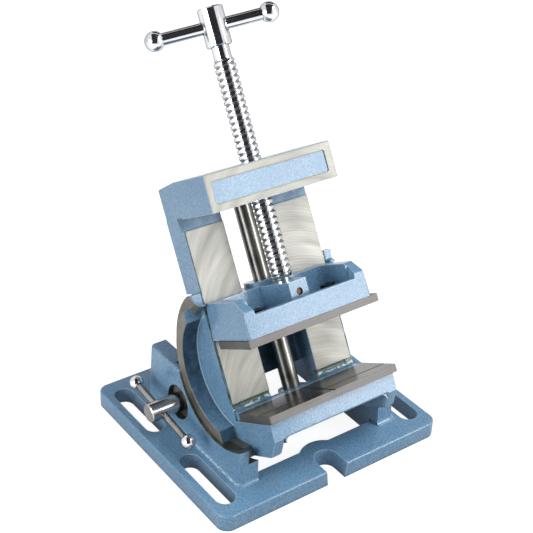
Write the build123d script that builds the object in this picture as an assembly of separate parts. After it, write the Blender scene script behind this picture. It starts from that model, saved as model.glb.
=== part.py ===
from build123d import *
import math
import os

# Angle vise with four inch jaws, in millimetres.
# X runs along the pivot axis from left to right, Y runs back, Z is up.
# The origin is the centre of the base's underside.

# Base plate
base_width = 178.0
base_depth = 160.0
base_thick = 11.7
base_corner_r = 8.0
base_edge_r = 1.2
window_inset_x = 39.0
window_inset_y = 25.4
window_corner_r = 4.0
slot_width = 14.0
slot_inset_x = 12.7
slot_inset_y = 10.8
slot_near_y = 15.0
notch_foot_r = 7.0
notch_top_r = 8.5
notch_inset = 11.3
notch_boss_r = 18.5

# Pivot of the tilting body
pivot_inset_y = 49.6
pivot_rise = 66.0
rest_lean = 30.0

# Cradle walls of the base, and the seat and rabbet cut in them
wall_top_inset = 27.0
wall_foot_inset = 25.0
wall_front_inset = 19.8
wall_rear_inset = 29.4
wall_end_draft = 0.6
post_drop = 21.7
seat_r = 49.0
seat_clear = 0.08
tongue_height = 7.0
rabbet_gap = 2.2
rabbet_inset_x = 6.7
rabbet_flare = 2.2
wall_foot_r = 3.0
wall_corner_r = 3.0
wall_edge_r = 1.5
upright_within = 6.0

# Lock on the left wall
lock_beyond_seat = 15.0
lock_turn = 46.6
lock_bore_r = 12.0
lock_slip = 0.06
cotter_inset = 2.6
outer_cotter_thick = 2.4
cotter_gap = 0.4
inner_cotter_reach = 26.5
lock_hub_r = 6.5
lock_hub_reach = 24.0
lock_hub_edge = 0.6
lock_shank_r = 5.0
lock_shank_reach = 25.5
lock_bar_stand = 15.2
lock_bar_r = 2.15
lock_bar_span = 65.0
lock_bar_slide = 2.4
lock_bar_tilt = 6.0
lock_ball_r = 4.8
lock_bar_slip = 0.06

# Tilting body, from the ways face (a) and the fixed jaw's gripping face (b)
ways_offset = 14.7
grip_drop = 27.8
body_gap = 1.6
ways_slot_half = 19.75
ways_foot = 4.9
ways_length = 114.7
ways_relief = 0.7
relief_height = 8.0
rail_thick = 14.0
block_thick = 21.0
block_drop = 48.6
head_height = 23.9
head_back_drop = 2.5
head_front = 39.9
head_edge_r = 0.9
panel_margin_left = 4.4
panel_margin_right = 5.8
panel_margin_foot = 4.7
panel_margin_top = 5.1
panel_depth = 0.7
panel_corner_r = 1.5
web_gap = 0.4
web_thick = 6.1
skirt_thick = 8.9
skirt_toe = 32.5
skirt_edge_r = 3.0
arch_r = 3.5
ring_inset_x = 0.8
ring_thick = 7.5
ring_low_face = 4.0
ring_top_face = 7.8
tongue_gap = 0.3
tongue_thick = 11.0
tongue_low_front = 12.0
tongue_tip_gap = 1.2
tongue_tip_front = 4.0
tongue_tip_r = 7.1
tongue_tip_drop = 4.2
cross_web_foot = 13.0
cross_web_top = 60.0
cross_web_thick = 7.0
bed_front = 41.5
bed_foot = 17.2
bed_rear = 2.0
bed_edge_r = 1.2
ledge_r = 3.4
rod_boss_r = 9.5

# Jaw plates
plate_overhang = 2.8
plate_thick = 5.05
plate_rear = 8.3
plate_front = 45.0
plate_edge = 0.5
vee_depth = 0.75
vee_width = 1.5
vee_from_front = 12.0
plate_screw_inset = 20.4
plate_screw_from_rear = 18.0
plate_screw_r = 3.0
plate_screw_head_r = 5.0
plate_screw_head = 6.0
plate_screw_slip = 0.25
plate_screw_grip = 4.2
plate_screw_socket = 2.5
plate_screw_socket_deep = 3.0
socket_sides = 6

# Movable jaw at its rest opening
jaw_opening = 43.1
jaw_height = 29.2
jaw_front = 44.8
jaw_rear = 0.5
jaw_side_gap = 0.4
jaw_end_draft = 1.6
jaw_shift = -2.0
jaw_chamfer_rear = 35.5
jaw_chamfer_drop = 6.9
rim_drop = 10.3
end_wall = 8.5
pocket_rear = 8.0
pocket_front = 39.0
pocket_depth = 16.3
pocket_corner_r = 3.0
rim_wall = 9.0
rim_slope = 2.5
rib_half = 6.8
rib_rear_half = 11.2
rib_front = 35.5
lug_gap = 0.3
lug_rear = 13.0
lug_rise = 2.7
lug_round_r = 13.0
jaw_edge_r = 1.2
guide_gap = 0.05

# Lead screw and its handle
screw_a = 19.8
screw_r = 7.0
screw_slip = 0.07
screw_reach = 145.2
screw_spigot_r = 4.5
spigot_below_floor = 2.0
screw_groove_r = 3.4
screw_groove_drop = 7.3
screw_groove_wide = 5.2
neck_r = 5.75
neck_length = 8.3
hub_height = 24.8
hub_r = 8.3
hub_edge = 0.8
tee_rise = 13.0
tee_bar_r = 4.0
tee_span = 74.3
tee_slide = 1.45
tee_turn = 25.6
tee_slip = 0.06
tee_ball_r = 6.5
ball_flat = 0.9

# Jaw set screw, which holds the lead screw's spigot
set_screw_r = 2.5
set_screw_tip_r = 2.0
set_screw_sink = 1.2
set_screw_gap = 0.35

# Guide rod behind the ways
rod_a = -4.6
rod_r = 5.9
rod_head_cover = 11.9
rod_foot_gap = 1.5
rod_edge = 0.8
pin_r = 2.0
pin_below_end = 6.0
pin_front = 4.0
pin_sink = 0.8

# Shared values
overrun = 1.0
near = 0.4

# Derived places of the base
half_width = base_width / 2
half_depth = base_depth / 2
window_half_x = half_width - window_inset_x
window_depth = base_depth - 2 * window_inset_y
slot_x = half_width - slot_inset_x
slot_far_y = half_depth - slot_inset_y
notch_y = half_depth - notch_inset
pivot_y = pivot_inset_y - half_depth
pivot_z = base_thick + pivot_rise
wall_top_x = half_width - wall_top_inset
wall_foot_x = half_width - wall_foot_inset
wall_front_y = half_depth - wall_front_inset
wall_rear_y = half_depth - wall_rear_inset
post_top_z = pivot_z - post_drop
disc_r = seat_r + tongue_height
rabbet_r = disc_r + rabbet_gap
rabbet_x = wall_top_x - rabbet_inset_x

# Derived places of the lock
lock_y = pivot_y + (seat_r + lock_beyond_seat) * math.cos(math.radians(lock_turn))
lock_z = pivot_z - (seat_r + lock_beyond_seat) * math.sin(math.radians(lock_turn))
lock_hub_end_x = wall_top_x + lock_hub_reach
lock_bar_x = wall_top_x + lock_bar_stand
lock_shank_end_x = wall_top_x - lock_shank_reach
inner_cotter_end_x = wall_top_x - inner_cotter_reach
cotter_outer_x = wall_top_x - cotter_inset

# Derived places of the tilting body
ways_y = pivot_y + ways_offset
grip_z = pivot_z - grip_drop
body_half = window_half_x - body_gap
ways_top = ways_foot + ways_length
head_foot = ways_top + relief_height
head_top = head_foot + head_height
head_rear_top = head_top - head_back_drop
block_foot = head_foot - block_drop
panel_left = body_half - panel_margin_left
panel_right = body_half - panel_margin_right
panel_foot = head_foot + panel_margin_foot
panel_top = head_top - panel_margin_top
web_outer = window_half_x - web_gap
web_inner = web_outer - web_thick
ring_outer_x = wall_top_x - ring_inset_x
ring_r = seat_r - seat_clear
ring_inner_r = seat_r - ring_thick
tongue_inner_r = disc_r - tongue_thick
tongue_tip_x = web_outer + tongue_tip_gap
tongue_tip_b = grip_drop + disc_r - tongue_tip_drop
skirt_inner = web_outer - skirt_thick
skirt_foot = disc_r - grip_drop

# Derived places of the jaws, the screw and the rod
plate_half = body_half + plate_overhang
plate_screw_x = body_half - plate_screw_inset
jaw_foot_b = jaw_opening + plate_thick
jaw_half = body_half - jaw_side_gap
jaw_top_b = jaw_opening + jaw_height
jaw_chamfer_foot = jaw_top_b - jaw_chamfer_drop
rim_b = jaw_top_b - rim_drop
pocket_floor_b = jaw_top_b - pocket_depth
lug_half = ways_slot_half - lug_gap
lug_top_b = jaw_top_b + lug_rise
screw_y = ways_y - screw_a
screw_spigot_end_b = pocket_floor_b - spigot_below_floor
screw_groove_b = jaw_top_b - screw_groove_drop
screw_thread_top_b = jaw_top_b + screw_reach
hub_foot_b = screw_thread_top_b + neck_length
hub_top_b = hub_foot_b + hub_height
tee_b = hub_foot_b + tee_rise
rod_y = ways_y - rod_a
rod_top_b = head_top - rod_head_cover
rod_foot_b = bed_foot - rod_foot_gap
pin_b = rod_top_b - pin_below_end


def depth_y(a):
    """Y of a depth in front of the ways face."""
    return ways_y - a


def height_z(b):
    """Z of a height above the fixed jaw's gripping face."""
    return grip_z + b


def side_face(points, x):
    return make_face(Polyline(*[(x, y, z) for y, z in points], close=True))


def side_slab(points, x_low, x_high):
    """Extrude a closed outline of (y, z) points from x_low to x_high."""
    return extrude(side_face(points, x_low), amount=x_high - x_low, dir=(1, 0, 0))


def body_slab(points, x_low, x_high):
    """Extrude a closed outline of (a, b) points from x_low to x_high."""
    return side_slab([(depth_y(a), height_z(b)) for a, b in points], x_low, x_high)


def body_box(x_low, x_high, a_low, a_high, b_low, b_high):
    outline = [(a_low, b_low), (a_high, b_low), (a_high, b_high), (a_low, b_high)]
    return body_slab(outline, x_low, x_high)


def rod_x(r, x_low, x_high, y, z):
    rod = Cylinder(r, x_high - x_low, align=(Align.CENTER, Align.CENTER, Align.MIN))
    return Pos(x_low, y, z) * Rot(0, 90, 0) * rod


def flared_ring(inner_r, outer_r, x_low, gap):
    """Ring about the pivot from x_low to the rabbet's slanted side less a gap."""
    slope = rabbet_flare / (rabbet_r - seat_r)
    inner_x = rabbet_x + slope * (inner_r - seat_r) - gap
    outer_x = rabbet_x + slope * (outer_r - seat_r) - gap
    profile = [(x_low, inner_r), (inner_x, inner_r), (outer_x, outer_r), (x_low, outer_r)]
    face = make_face(Polyline(*[(x, pivot_y, pivot_z + r) for x, r in profile], close=True))
    return revolve(face, Axis((0, pivot_y, pivot_z), (1, 0, 0)))


def rod_z(r, z_low, z_high, x, y):
    rod = Cylinder(r, z_high - z_low, align=(Align.CENTER, Align.CENTER, Align.MIN))
    return Pos(x, y, z_low) * rod


def bar_y(r, y_low, y_high, x, z):
    rod = Cylinder(r, y_high - y_low, align=(Align.CENTER, Align.CENTER, Align.MIN))
    return Pos(x, y_low, z) * Rot(-90, 0, 0) * rod


def front_slab(points, y_low, y_high):
    """Extrude a closed outline of (x, z) points from y_low to y_high."""
    face = make_face(Polyline(*[(x, y_low, z) for x, z in points], close=True))
    return extrude(face, amount=y_high - y_low, dir=(0, 1, 0))


def mirror_x(shape):
    return mirror(shape, about=Plane.YZ)


def lean(shape):
    """Turn an upright piece of the tilting group back to its rest lean."""
    axis = Axis((0, pivot_y, pivot_z), (1, 0, 0))
    return shape.rotate(axis, -rest_lean)


def soften(shape, edges, radius):
    """Round the edges where the shape allows it."""
    if not edges:
        print("no edges to round", radius)
        return shape
    try:
        return shape.fillet(radius, edges)
    except Exception as problem:
        print("not rounded", radius, len(edges), type(problem).__name__)
        return shape


def tee_bar(r, span, slide):
    """Bar of a sliding tee handle along X, pushed along by slide."""
    low = slide - span / 2
    return rod_x(r, low, low + span, 0, 0)


def handle_ball(r, bar_r, at_x, outward):
    """Ball on the end of a handle bar, bored for the bar and flat where it meets it."""
    ball = Pos(at_x, 0, 0) * Sphere(r)
    flat_x = at_x - outward * (math.sqrt(r * r - bar_r * bar_r) - ball_flat / 2)
    low = min(flat_x, flat_x - outward * r)
    high = max(flat_x, flat_x - outward * r)
    cutter = Box(high - low, 2 * r, 2 * r, align=(Align.MIN, Align.CENTER, Align.CENTER))
    ball = ball - Pos(low, 0, 0) * cutter
    inner = min(flat_x - outward * overrun, at_x)
    outer = max(flat_x - outward * overrun, at_x)
    return ball - rod_x(bar_r, inner, outer, 0, 0)


def base_plate():
    blank = extrude(RectangleRounded(base_width, base_depth, base_corner_r), base_thick)
    blank = soften(blank, blank.faces().sort_by(Axis.Z)[-1].edges(), base_edge_r)
    window = RectangleRounded(2 * window_half_x, window_depth, window_corner_r)
    plate = blank - extrude(Pos(0, 0, -overrun) * window, base_thick + 2 * overrun)
    slot_length = slot_far_y - slot_near_y
    slot_mid = (slot_far_y + slot_near_y) / 2
    slot = Rot(0, 0, 90) * SlotOverall(slot_length, slot_width)
    cutter = extrude(Pos(0, 0, -overrun) * slot, base_thick + 2 * overrun)
    for x in (-slot_x, slot_x):
        for y in (-slot_mid, slot_mid):
            plate = plate - Pos(x, y, 0) * cutter
    for side in (-1, 1):
        boss = rod_z(notch_boss_r, 0, base_thick, 0, side * notch_y)
        plate = plate + (boss & blank)
    reach = notch_inset + overrun
    draft = math.degrees(math.atan((notch_top_r - notch_foot_r) / base_thick))
    notch_face = Circle(notch_foot_r) + Rectangle(
        2 * notch_foot_r, reach, align=(Align.CENTER, Align.MAX)
    )
    notch = extrude(notch_face, base_thick, taper=-draft)
    plate = plate - Pos(0, -notch_y, 0) * notch
    plate = plate - Pos(0, notch_y, 0) * Rot(0, 0, 180) * notch
    return plate


def cradle_wall():
    """Right hand wall, whose front end stands at low Y."""
    foot = base_thick
    outline = [
        (-wall_front_y - wall_end_draft, foot),
        (-wall_front_y, post_top_z),
        (wall_rear_y, post_top_z),
        (wall_rear_y + wall_end_draft, foot),
    ]
    wall = side_slab(outline, window_half_x, wall_foot_x)
    slope = [
        (wall_foot_x, foot),
        (wall_top_x, post_top_z),
        (wall_foot_x + overrun, post_top_z + overrun),
        (wall_foot_x + overrun, foot),
    ]
    wall = wall - front_slab(slope, -half_depth, half_depth)
    tall = wall.edges().filter_by(Axis.Z, tolerance=upright_within)
    outer = tall.filter_by(lambda e: e.center().X > wall_top_x)
    wall = soften(wall, outer, wall_corner_r)
    return wall


def base():
    plate = base_plate()
    wall = cradle_wall()
    body = plate + wall + mirror_x(wall)
    feet = body.edges().filter_by(lambda e: abs(e.center().Z - base_thick) < near)
    feet = feet.filter_by(
        lambda e: e.bounding_box().size.Z < near
        and window_half_x + near < abs(e.center().X) < wall_foot_x + near
        and abs(e.center().Y) < wall_front_y + wall_end_draft + near
    )
    body = soften(body, feet, wall_foot_r)
    span = wall_foot_x + wall_foot_r
    body = body - rod_x(seat_r, -span, span, pivot_y, pivot_z)
    rabbet = flared_ring(seat_r - overrun, rabbet_r, window_half_x - overrun, 0)
    body = body - rabbet - mirror_x(rabbet)
    body = body - rod_x(lock_bore_r, -span, -window_half_x + overrun, lock_y, lock_z)
    rims = body.faces().sort_by(Axis.Z)[-2:]
    for rim in rims:
        body = soften(body, [e for e in rim.edges() if abs(e.center().X) > rabbet_x], wall_edge_r)
    return body


def disc_outline():
    return rod_x(disc_r, web_inner, web_outer, pivot_y, pivot_z)


def skirt():
    """Right hand skirt, which carries the bed's front down to the web's foot."""
    slab = body_slab(
        [
            (0, -plate_thick - overrun),
            (bed_front, -plate_thick - overrun),
            (bed_front, -bed_foot),
            (skirt_toe, -skirt_foot),
            (ways_offset, -skirt_foot),
            (0, -bed_foot),
        ],
        skirt_inner, web_outer,
    )
    low = [e for e in slab.edges() if e.center().Z < height_z(-bed_foot) - near
           and e.center().Y < depth_y(ways_offset) - near]
    toe = [e for e in low if e.center().X < skirt_inner + near
           or e.center().Z < height_z(-skirt_foot) + near and e.bounding_box().size.Y < near]
    slab = soften(slab, toe, skirt_edge_r)
    arch = body_box(skirt_inner - arch_r, skirt_inner + near, 0, bed_front - bed_edge_r,
                    -bed_foot - arch_r, -bed_foot + near)
    hollow = bar_y(arch_r, depth_y(bed_front), depth_y(0) + overrun, skirt_inner - arch_r,
                   height_z(-bed_foot - arch_r))
    return slab + (arch - hollow)


def body_side():
    """Right hand web, runner and tongue of the tilting body, upright."""
    far = 2 * disc_r
    low_x = web_inner - overrun
    high_x = ring_outer_x + overrun
    web = disc_outline()
    web = web - body_box(low_x, high_x, 0, far, -plate_thick - overrun, grip_drop + far)
    web = web - body_box(low_x, high_x, ways_offset, far, -far, -plate_thick)
    web = web - body_box(low_x, high_x, -far, far, tongue_tip_b, grip_drop + far)
    ring = rod_x(ring_r, web_inner, ring_outer_x, pivot_y, pivot_z)
    ring = ring - rod_x(ring_inner_r, web_inner, ring_outer_x, pivot_y, pivot_z)
    ring = ring & (body_box(low_x, high_x, -far, -ring_low_face, -far, grip_drop + near)
                   + body_box(low_x, high_x, -far, -ring_top_face, grip_drop, grip_drop + far))
    tongue = flared_ring(tongue_inner_r, disc_r, web_inner, tongue_gap)
    rear = tongue & body_box(low_x, high_x, -far, 0, -far, tongue_tip_b)
    rear = rear - body_box(low_x, high_x, -ring_low_face, overrun, -far, grip_drop)
    tip = tongue & body_box(tongue_tip_x, high_x, -overrun, tongue_tip_front,
                            grip_drop, tongue_tip_b)
    hollow = rod_x(tongue_tip_r, low_x, high_x, depth_y(tongue_tip_front),
                   height_z(tongue_tip_b))
    toe = flared_ring(ring_r, disc_r, web_inner, tongue_gap)
    toe = toe & body_box(low_x, high_x, -ring_low_face - overrun, tongue_low_front,
                         -far, grip_drop)
    return web + skirt() + ring + rear + toe + (tip - hollow)


def body_spine():
    """Ways, upper block, head and bed of the tilting body, upright."""
    rails = body_box(-body_half, body_half, -rail_thick, 0, 0, block_foot + overrun)
    block = body_box(-body_half, body_half, -block_thick, 0, block_foot, head_foot + overrun)
    head = body_slab(
        [
            (-block_thick, head_foot),
            (head_front, head_foot),
            (head_front, head_top),
            (0, head_top),
            (-block_thick, head_rear_top),
        ],
        -body_half, body_half,
    )
    head = soften(head, head.edges().filter_by(lambda e: e.center().Z > height_z(head_foot)
                                               + near), head_edge_r)
    panel = body_box(
        -panel_left, panel_right, head_front - panel_depth, head_front + overrun,
        panel_foot, panel_top,
    )
    panel = soften(panel, panel.edges().filter_by(Axis.Y), panel_corner_r)
    relief = body_box(
        -body_half - overrun, body_half + overrun, -ways_relief, overrun, ways_top, head_foot
    )
    bed = body_slab(
        [
            (-bed_rear, -bed_foot),
            (bed_front, -bed_foot),
            (bed_front, -plate_thick),
            (plate_rear, -plate_thick),
            (plate_rear, 0),
            (0, 0),
            (-bed_rear, 0),
        ],
        -body_half, body_half,
    )
    nose = bed.edges().filter_by(lambda e: e.center().Y < depth_y(bed_front) + near
                                 and e.center().Z < height_z(-plate_thick) - near)
    bed = soften(bed, nose, bed_edge_r)
    slot = body_box(
        -ways_slot_half, ways_slot_half, -block_thick - overrun, overrun, 0, head_foot
    )
    spine = rails + block + bed
    spine = spine - slot - relief
    spine = spine + head - panel
    foot_relief = body_box(
        -body_half - overrun, body_half + overrun, -ways_relief, overrun, 0, ways_foot
    )
    spine = spine - foot_relief
    ledge = body_box(-body_half, body_half, -ways_relief, ledge_r - ways_relief, 0, ledge_r)
    hollow = rod_x(ledge_r, -body_half, body_half, depth_y(ledge_r - ways_relief),
                   height_z(ledge_r))
    spine = spine + (ledge - hollow - slot)
    cross = body_box(
        -web_inner - overrun, web_inner + overrun,
        -block_thick, cross_web_thick - block_thick, cross_web_foot, cross_web_top,
    )
    rod_boss = rod_z(rod_boss_r, height_z(-bed_foot), height_z(0), 0, rod_y)
    boss_link = body_box(-rod_boss_r, rod_boss_r, rod_a, 0, -bed_foot, 0)
    return spine + cross + rod_boss + boss_link


def tilting_body():
    side = body_side()
    body = body_spine() + side + mirror_x(side)
    body = body - rod_z(screw_r + screw_slip, height_z(head_foot) - overrun,
                        height_z(head_top) + overrun, 0, screw_y)
    body = body - rod_z(rod_r, height_z(-rod_foot_b), height_z(rod_top_b), 0, rod_y)
    body = body - bar_y(pin_r, depth_y(pin_front), depth_y(-block_thick) + overrun, 0,
                        height_z(pin_b))
    for x in (-plate_screw_x, plate_screw_x):
        y = depth_y(plate_rear + plate_screw_from_rear)
        body = body - rod_z(plate_screw_r + plate_screw_slip, height_z(-bed_foot) - overrun,
                            height_z(0), x, y)
        body = body - rod_z(plate_screw_head_r + plate_screw_slip, height_z(-bed_foot) - overrun,
                            height_z(-bed_foot) + plate_screw_head, x, y)
    return body


def jaw_plate(grooved):
    """Jaw plate with its gripping face up, at the fixed jaw's place."""
    plate = body_box(
        -plate_half, plate_half, plate_rear, plate_front, -plate_thick, 0
    )
    plate = plate.chamfer(plate_edge, None, plate.edges().filter_by(Axis.Z))
    if grooved:
        half = plate_half + overrun
        groove_a = plate_front - vee_from_front
        vee = [
            (groove_a - vee_width / 2, 0),
            (groove_a, -vee_depth),
            (groove_a + vee_width / 2, 0),
        ]
        plate = plate - body_slab(vee, -half, half)
        cross = [
            (-vee_width / 2, height_z(0)),
            (0, height_z(-vee_depth)),
            (vee_width / 2, height_z(0)),
        ]
        plate = plate - front_slab(
            cross, depth_y(plate_front) - overrun, depth_y(plate_rear) + overrun
        )
    for x in (-plate_screw_x, plate_screw_x):
        y = depth_y(plate_rear + plate_screw_from_rear)
        low = height_z(-plate_thick)
        plate = plate - rod_z(plate_screw_r, low, low + plate_screw_grip, x, y)
    return plate


def cap_screw(x, y, seat_z, tip_z, upward):
    """Socket cap screw whose head sits on seat_z and whose tip reaches tip_z."""
    head_end = seat_z - upward * plate_screw_head
    low, high = min(seat_z, head_end), max(seat_z, head_end)
    head = rod_z(plate_screw_head_r, low, high, x, y)
    low, high = min(seat_z, tip_z), max(seat_z, tip_z)
    shank = rod_z(plate_screw_r, low, high, x, y)
    socket = extrude(RegularPolygon(plate_screw_socket, socket_sides), plate_screw_socket_deep)
    low = head_end if upward > 0 else head_end - plate_screw_socket_deep
    return head + shank - Pos(x, y, low) * socket


def fixed_plate_screws():
    y = depth_y(plate_rear + plate_screw_from_rear)
    seat = height_z(-bed_foot) + plate_screw_head
    tip = height_z(-plate_thick) + plate_screw_grip
    return [cap_screw(x, y, seat, tip, 1) for x in (-plate_screw_x, plate_screw_x)]


def movable_plate():
    plate = jaw_plate(False)
    centre_z = height_z((jaw_opening - plate_thick) / 2)
    return mirror(plate, about=Plane((0, 0, centre_z + plate_thick / 2)))


def movable_plate_screws():
    y = depth_y(plate_rear + plate_screw_from_rear)
    seat = height_z(pocket_floor_b)
    tip = height_z(jaw_foot_b - plate_screw_grip)
    return [cap_screw(x, y, seat, tip, -1) for x in (-plate_screw_x, plate_screw_x)]


def movable_jaw():
    low_x = jaw_shift - jaw_half
    high_x = jaw_shift + jaw_half
    foot = jaw_foot_b
    jaw = body_slab(
        [
            (jaw_rear, foot),
            (jaw_front, foot),
            (jaw_front, jaw_chamfer_foot),
            (jaw_chamfer_rear, jaw_top_b),
            (jaw_rear, jaw_top_b),
        ],
        low_x, high_x,
    )
    outer = jaw.edges().filter_by(lambda e: e.center().Y < depth_y(jaw_chamfer_rear)
                                  or e.center().Z > height_z(jaw_chamfer_foot))
    outer = [e for e in outer if e.center().Z > height_z(foot) + near]
    jaw = soften(jaw, outer, jaw_edge_r)
    for end_x, outward in ((low_x, -1), (high_x, 1)):
        draft = front_slab(
            [
                (end_x, height_z(foot)),
                (end_x - outward * jaw_end_draft, height_z(jaw_top_b)),
                (end_x + outward * overrun, height_z(jaw_top_b)),
                (end_x + outward * overrun, height_z(foot)),
            ],
            depth_y(jaw_front) - overrun, depth_y(0),
        )
        jaw = jaw - draft
    pocket = body_box(
        low_x + end_wall, high_x - end_wall, pocket_rear, pocket_front,
        pocket_floor_b, jaw_top_b + overrun,
    )
    pocket = soften(pocket, pocket.edges().filter_by(Axis.Z), pocket_corner_r)
    rim = front_slab(
        [
            (low_x + rim_wall, height_z(rim_b)),
            (high_x - rim_wall, height_z(rim_b)),
            (high_x - rim_wall + rim_slope, height_z(jaw_top_b) + overrun),
            (low_x + rim_wall - rim_slope, height_z(jaw_top_b) + overrun),
        ],
        depth_y(jaw_front) - overrun, depth_y(pocket_front) + overrun,
    )
    jaw = jaw - pocket - rim
    rib_face = make_face(Polyline(
        (-rib_half, depth_y(rib_front), height_z(foot)),
        (rib_half, depth_y(rib_front), height_z(foot)),
        (rib_rear_half, depth_y(pocket_rear - overrun), height_z(foot)),
        (-rib_rear_half, depth_y(pocket_rear - overrun), height_z(foot)), close=True))
    rib = extrude(rib_face, amount=jaw_top_b - foot, dir=(0, 0, 1))
    bulge = rod_z(lug_round_r, height_z(foot), height_z(lug_top_b), 0, rod_y)
    bulge = bulge & body_box(-lug_half, lug_half, -lug_rear, jaw_front, foot, lug_top_b)
    lug = body_box(-lug_half, lug_half, -lug_rear, jaw_rear, foot, jaw_top_b)
    jaw = jaw + rib + lug + bulge
    jaw = jaw - rod_z(screw_spigot_r + screw_slip, height_z(screw_spigot_end_b) - overrun,
                      height_z(lug_top_b) + overrun, 0, screw_y)
    jaw = jaw - rod_z(rod_r + guide_gap, height_z(foot) - overrun,
                      height_z(lug_top_b) + overrun, 0, rod_y)
    jaw = jaw - bar_y(set_screw_r, depth_y(rib_front) - overrun, screw_y, 0,
                      height_z(screw_groove_b))
    for x in (-plate_screw_x, plate_screw_x):
        y = depth_y(plate_rear + plate_screw_from_rear)
        jaw = jaw - rod_z(plate_screw_r + plate_screw_slip, height_z(foot) - overrun,
                          height_z(pocket_floor_b) + overrun, x, y)
    return jaw


def lead_screw():
    spigot = rod_z(screw_spigot_r, height_z(screw_spigot_end_b), height_z(jaw_top_b), 0, screw_y)
    groove = rod_z(screw_r, height_z(screw_groove_b - screw_groove_wide / 2),
                   height_z(screw_groove_b + screw_groove_wide / 2), 0, screw_y)
    core = rod_z(screw_groove_r, height_z(screw_spigot_end_b), height_z(jaw_top_b), 0, screw_y)
    spigot = (spigot - groove) + core
    thread = rod_z(screw_r, height_z(lug_top_b), height_z(screw_thread_top_b), 0, screw_y)
    link = rod_z(screw_spigot_r, height_z(jaw_top_b), height_z(lug_top_b), 0, screw_y)
    neck = rod_z(neck_r, height_z(screw_thread_top_b), height_z(hub_foot_b), 0, screw_y)
    hub = rod_z(hub_r, height_z(hub_foot_b), height_z(hub_top_b), 0, screw_y)
    hub = hub.chamfer(hub_edge, None, hub.edges())
    hole = rod_x(tee_bar_r + tee_slip, -hub_r - overrun, hub_r + overrun, 0, 0)
    hole = Pos(0, screw_y, height_z(tee_b)) * Rot(0, 0, -tee_turn) * hole
    return spigot + link + thread + neck + hub - hole


def place_tee(shape):
    return Pos(0, screw_y, height_z(tee_b)) * Rot(0, 0, -tee_turn) * shape


def lead_tee_bar():
    bar = tee_bar(tee_bar_r, tee_span, -tee_slide)
    return place_tee(bar)


def lead_ball(side):
    at = side * tee_span / 2 - tee_slide
    return place_tee(handle_ball(tee_ball_r, tee_bar_r, at, side))


def guide_rod():
    rod = rod_z(rod_r, height_z(-rod_foot_b), height_z(rod_top_b), 0, rod_y)
    rod = rod.chamfer(rod_edge, None, rod.edges().filter_by(GeomType.CIRCLE))
    return rod - guide_rod_pin()


def guide_rod_pin():
    """Cross pin that keeps the guide rod in the head."""
    return bar_y(pin_r, depth_y(pin_front), depth_y(-block_thick) - pin_sink, 0, height_z(pin_b))


def jaw_set_screw():
    length = rib_front - set_screw_sink - screw_a - screw_groove_r - set_screw_gap
    head_y = depth_y(rib_front - set_screw_sink)
    screw = bar_y(set_screw_r, head_y, head_y + length, 0, height_z(screw_groove_b))
    tip = screw.faces().sort_by(Axis.Y)[-1]
    return screw.chamfer(set_screw_r - set_screw_tip_r, None, tip.edges())


def place_lock(shape):
    return Pos(-lock_bar_x, lock_y, lock_z) * Rot(lock_bar_tilt, 0, 0) * Rot(0, 0, 90) * shape


def lock_screw():
    seat_x = cotter_outer_x + cotter_gap
    hub = rod_x(lock_hub_r, -lock_hub_end_x, -seat_x, lock_y, lock_z)
    hub = hub.chamfer(lock_hub_edge, None, hub.edges().filter_by(GeomType.CIRCLE))
    shank = rod_x(lock_shank_r, -seat_x - overrun, -lock_shank_end_x, lock_y, lock_z)
    hole = rod_x(lock_bar_r + lock_bar_slip, -lock_hub_r - overrun, lock_hub_r + overrun, 0, 0)
    return hub + shank - place_lock(hole)


def lock_tee_bar():
    return place_lock(tee_bar(lock_bar_r, lock_bar_span, -lock_bar_slide))


def lock_ball(side):
    at = side * lock_bar_span / 2 - lock_bar_slide
    return place_lock(handle_ball(lock_ball_r, lock_bar_r, at, side))


def outer_cotter():
    outer_x = cotter_outer_x
    inner_x = outer_x - outer_cotter_thick
    cotter = rod_x(lock_bore_r - lock_slip, -outer_x, -inner_x, lock_y, lock_z)
    return cotter - rod_x(lock_shank_r + lock_slip, -wall_foot_x, -inner_x + overrun, lock_y, lock_z)


def inner_cotter():
    outer_x = cotter_outer_x - outer_cotter_thick - cotter_gap
    cotter = rod_x(lock_bore_r - lock_slip, -outer_x, -inner_cotter_end_x, lock_y, lock_z)
    notch_r = disc_r + cotter_gap
    cotter = cotter - rod_x(notch_r, -wall_foot_x, -web_inner + cotter_gap, pivot_y, pivot_z)
    bore = rod_x(lock_shank_r + lock_slip, -wall_foot_x, -inner_cotter_end_x + overrun,
                 lock_y, lock_z)
    return cotter - bore


def write(name, shape):
    shapes = shape if isinstance(shape, list) else [shape]
    solids = [s for one in shapes for s in one.solids()]
    piece = solids[0] if len(solids) == 1 else Compound(children=solids)
    piece.label = name
    export_step(piece, os.path.join("parts", name + ".step"))
    print(name, len(solids), round(sum(s.volume for s in solids)))


def main():
    os.makedirs("parts", exist_ok=True)
    write("base", base())
    write("lock_outer_cotter", outer_cotter())
    write("lock_inner_cotter", inner_cotter())
    write("lock_screw", lock_screw())
    write("lock_tee_bar", lock_tee_bar())
    write("lock_ball_front", lock_ball(-1))
    write("lock_ball_rear", lock_ball(1))
    write("tilting_body", lean(tilting_body()))
    write("fixed_jaw_plate", lean(jaw_plate(True)))
    write("fixed_plate_screws", [lean(s) for s in fixed_plate_screws()])
    write("guide_rod", lean(guide_rod()))
    write("guide_rod_pin", lean(guide_rod_pin()))
    write("movable_jaw", lean(movable_jaw()))
    write("movable_jaw_plate", lean(movable_plate()))
    write("movable_plate_screws", [lean(s) for s in movable_plate_screws()])
    write("jaw_set_screw", lean(jaw_set_screw()))
    write("lead_screw", lean(lead_screw()))
    write("lead_tee_bar", lean(lead_tee_bar()))
    write("lead_ball_left", lean(lead_ball(-1)))
    write("lead_ball_right", lean(lead_ball(1)))


main()
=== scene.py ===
import math

import bmesh
import bpy
from mathutils import Matrix, Vector


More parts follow.
